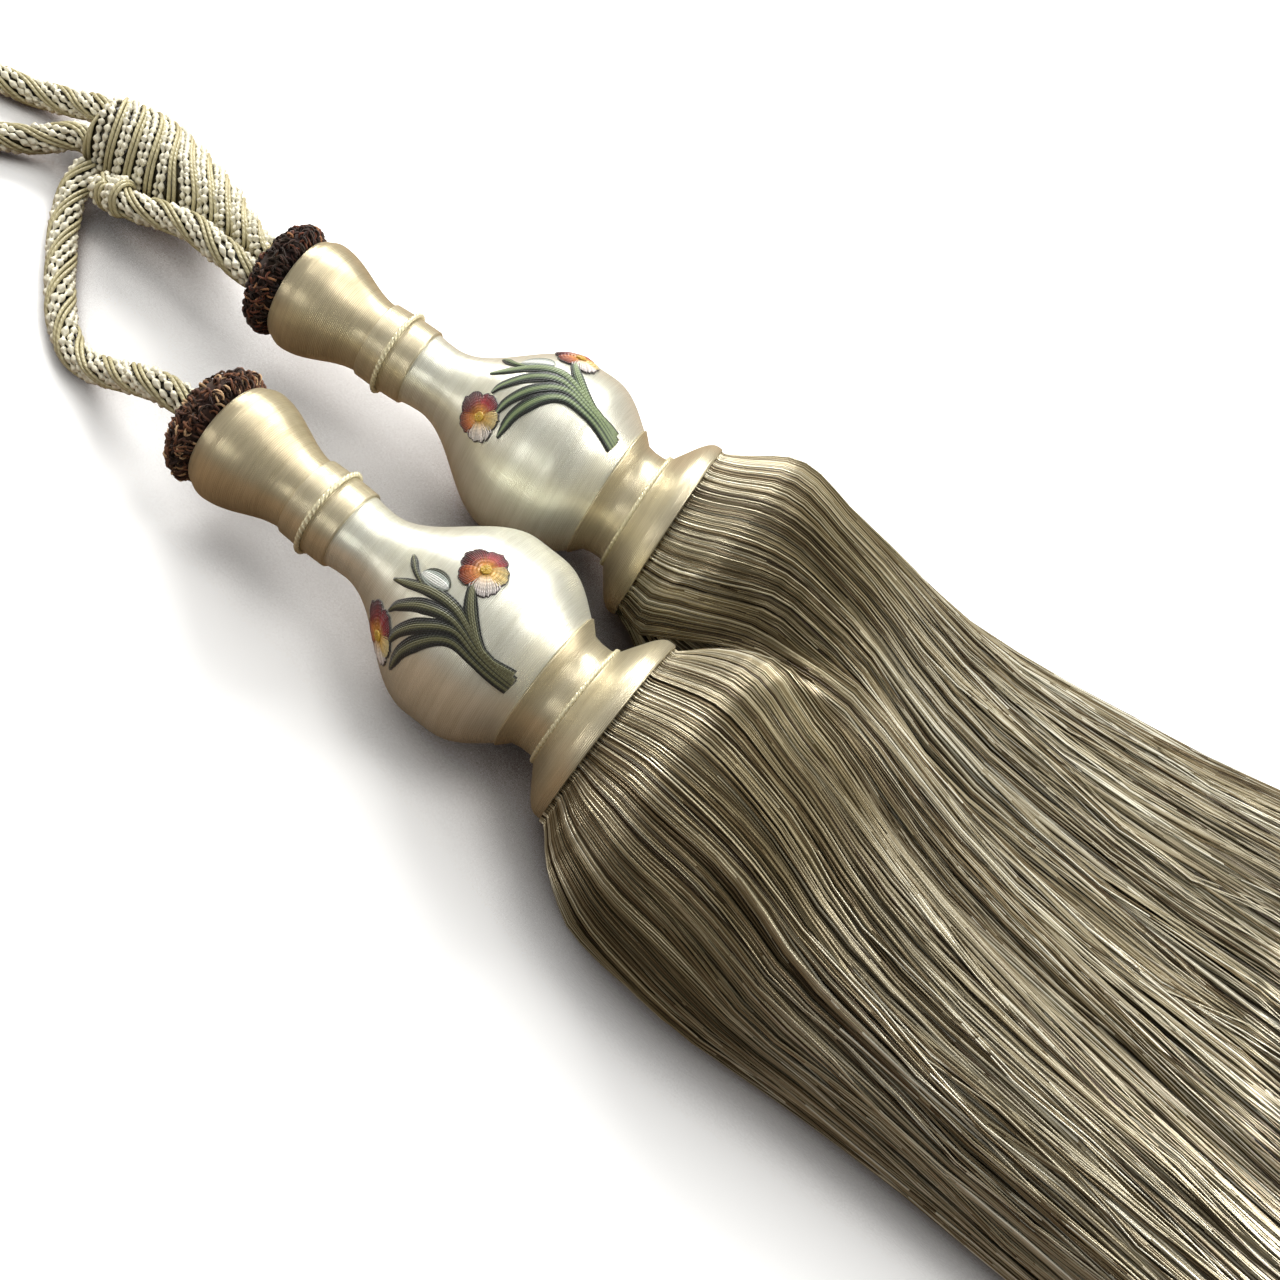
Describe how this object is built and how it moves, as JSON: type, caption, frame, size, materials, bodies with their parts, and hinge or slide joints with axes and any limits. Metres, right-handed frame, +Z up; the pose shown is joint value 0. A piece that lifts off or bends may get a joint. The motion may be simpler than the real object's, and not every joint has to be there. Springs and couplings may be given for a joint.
{
  "type": "curtain tieback with key tassels",
  "caption": "Curtain tieback laid flat: twisted cord loop, wound knot and large key tassels with satin-wound turned heads and long yarn skirts.",
  "frame": {"origin": "on the surface that the tieback lies on, at the flat spot under the rear tassel's bulb", "axes": "+X along the rear tassel from its rope to the ends of its skirt, +Z up; the front tassel lies on the -Y side"},
  "size_m": [0.6931, 0.197, 0.062],
  "materials": {
    "satin_thread": "satin",
    "ruff_yarn": "matte",
    "skirt_yarn": "satin",
    "rope_yarn": "satin"
  },
  "bodies": {
    "root": {"cup_rear": "satin_thread", "band_rear": "satin_thread", "bulb_rear": "satin_thread", "collar_rear": "satin_thread", "ruff_rear": "ruff_yarn", "skirt_rear": "skirt_yarn", "cup_front": "satin_thread", "band_front": "satin_thread", "bulb_front": "satin_thread", "collar_front": "satin_thread", "ruff_front": "ruff_yarn", "skirt_front": "skirt_yarn", "rope_rear": "rope_yarn", "rope_front": "rope_yarn", "rope_loop": "rope_yarn", "knot": "rope_yarn"}
  },
  "joints": []
}
